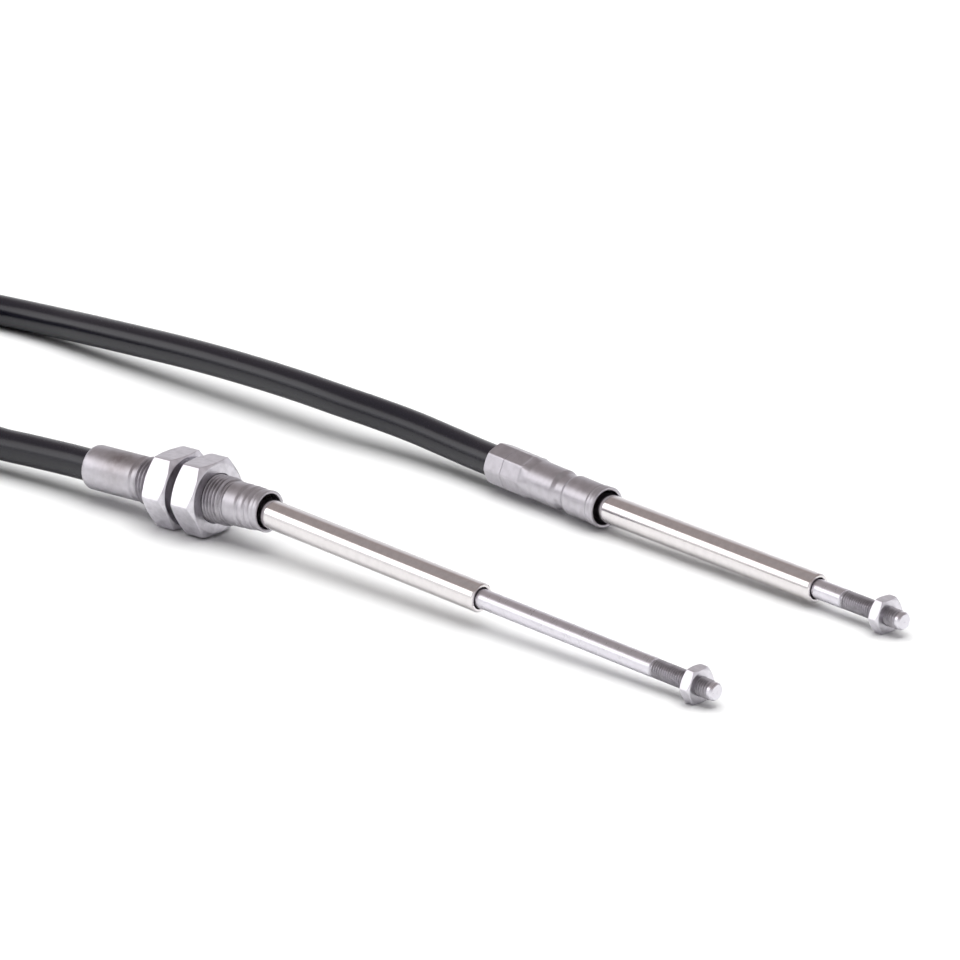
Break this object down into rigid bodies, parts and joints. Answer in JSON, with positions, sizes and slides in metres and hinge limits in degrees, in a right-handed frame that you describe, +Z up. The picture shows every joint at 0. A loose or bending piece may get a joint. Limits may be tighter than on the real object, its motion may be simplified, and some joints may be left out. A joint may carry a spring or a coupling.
{
  "type": "push-pull boat control cable",
  "caption": "Push-pull control cable: black conduit, a bulkhead hub with jam nuts at one end, a clamp hub at the other, each with a swivelling tube and a sliding threaded rod.",
  "frame": {"origin": "on the floor, under the middle of the box of the two end fittings", "axes": "+X along the bulkhead end's tube and rod, towards the rod tips; +Y from the bulkhead end to the clamp end; +Z up"},
  "size_m": [0.5358, 0.1502, 0.0355],
  "materials": {
    "machined_steel": "turned, satin",
    "nut_steel": "zinc plated, satin",
    "tube_steel": "polished stainless",
    "rod_steel": "ground, satin",
    "seal_rubber": "matt black rubber",
    "conduit_jacket": "smooth black jacket, slight sheen",
    "tie_nylon": "black nylon"
  },
  "bodies": {
    "cable": {"bulkhead_hub": "machined_steel", "bulkhead_nut_front": "nut_steel", "bulkhead_nut_rear": "nut_steel", "clamp_hub": "machined_steel", "conduit_clamp_run": "conduit_jacket", "conduit_bulkhead_run": "conduit_jacket", "conduit_coil": "conduit_jacket", "coil_tie_1": "tie_nylon", "coil_tie_2": "tie_nylon"},
    "bulkhead_seal": {"bulkhead_seal": "seal_rubber"},
    "bulkhead_tube": {"bulkhead_tube": "tube_steel"},
    "bulkhead_rod": {"bulkhead_rod": "rod_steel", "bulkhead_rod_nut": "nut_steel"},
    "clamp_seal": {"clamp_seal": "seal_rubber"},
    "clamp_tube": {"clamp_tube": "tube_steel"},
    "clamp_rod": {"clamp_rod": "rod_steel", "clamp_rod_nut": "nut_steel"}
  },
  "joints": [
    {"name": "bulkhead_swivel_turn", "type": "hinge", "parent": "cable", "child": "bulkhead_seal", "pos_m": [-0.06417, -0.04252, 0.01352], "axis": [-0.041, -0.0021, 0.9992], "range_deg": [-5.1, 10.9]},
    {"name": "bulkhead_swivel_tilt", "type": "hinge", "parent": "bulkhead_seal", "child": "bulkhead_tube", "pos_m": [-0.06417, -0.04252, 0.01352], "axis": [0, 1, 0.0021], "range_deg": [-12.7, 3.3]},
    {"name": "bulkhead_rod_slide", "type": "slide", "parent": "bulkhead_tube", "child": "bulkhead_rod", "axis": [0.9991, 0.0001, -0.0417], "range_m": [-0.0688, 0.0074]},
    {"name": "clamp_swivel_turn", "type": "hinge", "parent": "cable", "child": "clamp_seal", "pos_m": [0.00013, 0.04688, 0.0078], "axis": [0.0148, -0.0013, 0.9999], "range_deg": [-10.5, 5.5]},
    {"name": "clamp_swivel_tilt", "type": "hinge", "parent": "clamp_seal", "child": "clamp_tube", "pos_m": [0.00013, 0.04688, 0.0078], "axis": [0.0436, 0.999, 0.0006], "range_deg": [-8.2, 7.8]},
    {"name": "clamp_rod_slide", "type": "slide", "parent": "clamp_tube", "child": "clamp_rod", "axis": [0.9989, -0.0436, -0.0173], "range_m": [-0.0074, 0.0688]}
  ],
  "couplings": [
    {"joint": "clamp_rod_slide", "follows": "bulkhead_rod_slide", "ratio": -1}
  ]
}
